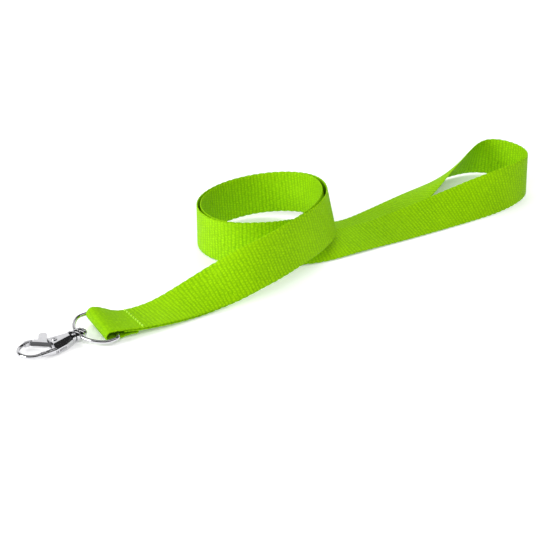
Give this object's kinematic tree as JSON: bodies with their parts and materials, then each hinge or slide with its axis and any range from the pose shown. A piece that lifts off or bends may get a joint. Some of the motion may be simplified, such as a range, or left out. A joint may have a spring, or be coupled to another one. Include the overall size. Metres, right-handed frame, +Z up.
{
  "type": "neck lanyard",
  "caption": "Flat woven neck lanyard lying in a loose curl, sewn round a D-ring that carries a swivel trigger hook with a sprung gate.",
  "frame": {"origin": "on the table, under the middle of the whole lanyard's box as it lies", "axes": "+Z up from the table; +X from the hook towards the far end of the neck loop, along the longest side of the box; +Y across the table, away from the hook's side"},
  "size_m": [0.2318, 0.2052, 0.0287],
  "materials": {
    "webbing": "woven",
    "thread": "twisted thread",
    "ring_plating": "bright nickel plated",
    "hook_plating": "bright nickel plated",
    "pin_steel": "nickel plated",
    "spring_steel": "drawn wire"
  },
  "bodies": {
    "strap": {"webbing_strap": "webbing", "needle_thread": "thread", "bobbin_thread": "thread"},
    "ring": {"d_ring": "ring_plating"},
    "hook": {"swivel_post": "hook_plating", "swivel_washer": "pin_steel", "hook_body": "hook_plating", "gate_rivet": "pin_steel", "gate_spring": "spring_steel"},
    "gate": {"gate_lever": "hook_plating"}
  },
  "joints": [
    {"name": "ring_swing", "type": "hinge", "parent": "strap", "child": "ring", "pos_m": [-0.08177, -0.07684, 0.00359], "axis": [0.589, -0.8034, -0.0871], "range_deg": [-110, 110]},
    {"name": "hook_swivel", "type": "hinge", "parent": "ring", "child": "hook", "pos_m": [-0.09227, -0.08447, 0.00295], "axis": [-0.8081, -0.5871, -0.0488], "continuous": true},
    {"name": "gate_press", "type": "hinge", "parent": "hook", "child": "gate", "pos_m": [-0.10102, -0.09095, 0.00242], "axis": [-0.0395, -0.0287, 0.9988], "range_deg": [0, 20], "stiffness_Nm_per_rad": 0.006, "springref_deg": -20.05, "deforming": ["gate_spring"]}
  ]
}
